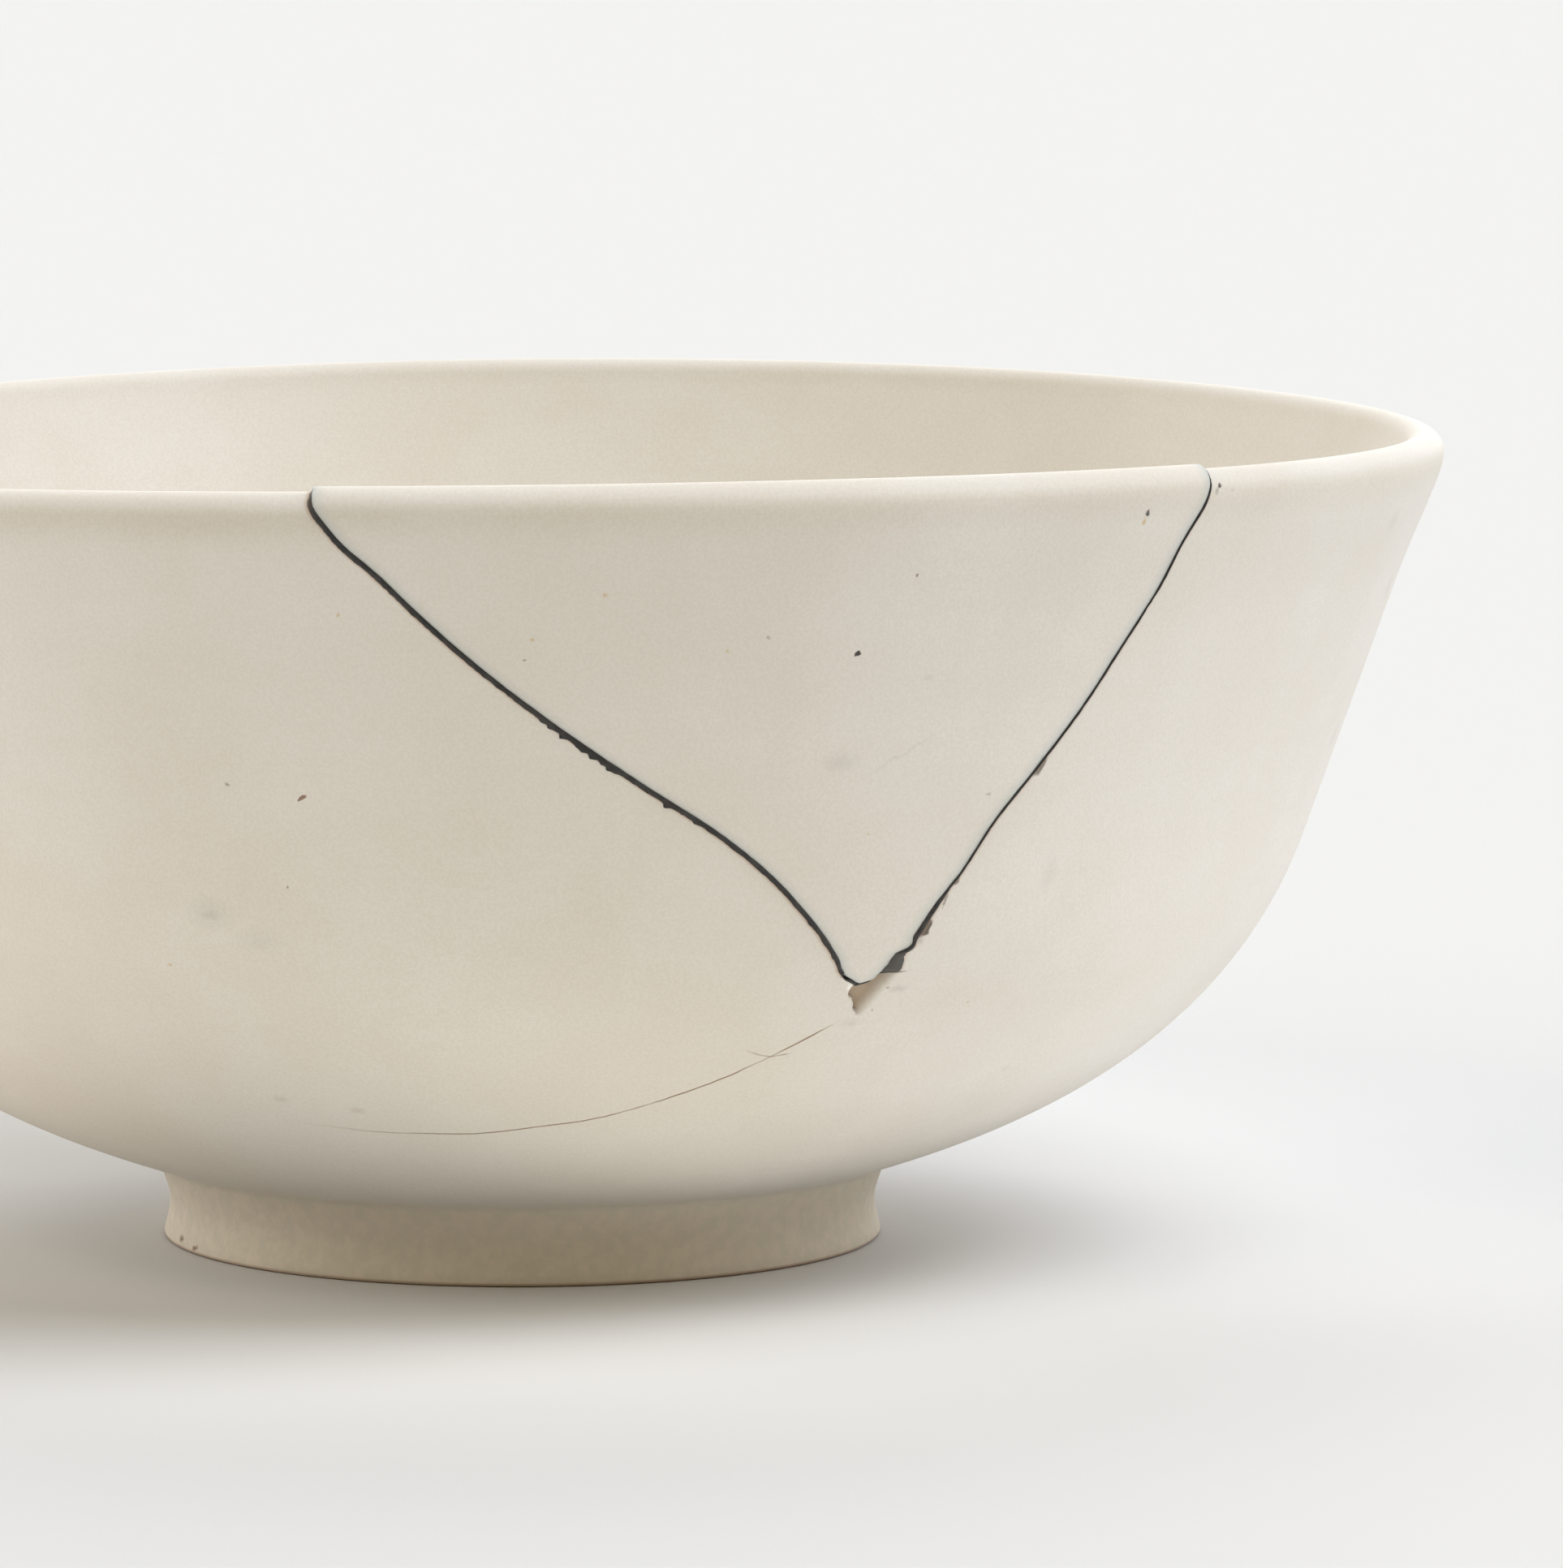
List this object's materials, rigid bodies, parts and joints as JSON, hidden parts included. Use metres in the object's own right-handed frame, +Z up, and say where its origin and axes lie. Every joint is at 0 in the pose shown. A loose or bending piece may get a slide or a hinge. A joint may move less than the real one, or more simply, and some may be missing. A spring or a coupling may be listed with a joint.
{
  "type": "mended ceramic bowl",
  "caption": "Round thrown ceramic bowl with a flared lip and a turned foot ring, its broken-out rim sherd glued back with a dark seam.",
  "frame": {"origin": "centre of the foot ring, on the surface that the bowl stands on", "axes": "+Z up along the bowl's axis, -Y towards the front where the mended break is, +X to the right seen from the front"},
  "size_m": [0.15, 0.1501, 0.0674],
  "materials": {
    "clay": "matte pale fired clay with a fine eggshell grain",
    "glue": "dark dried adhesive, slightly satin"
  },
  "bodies": {
    "root": {"bowl_body": "clay", "rim_sherd": "clay", "glue_seam": "glue"}
  },
  "joints": []
}
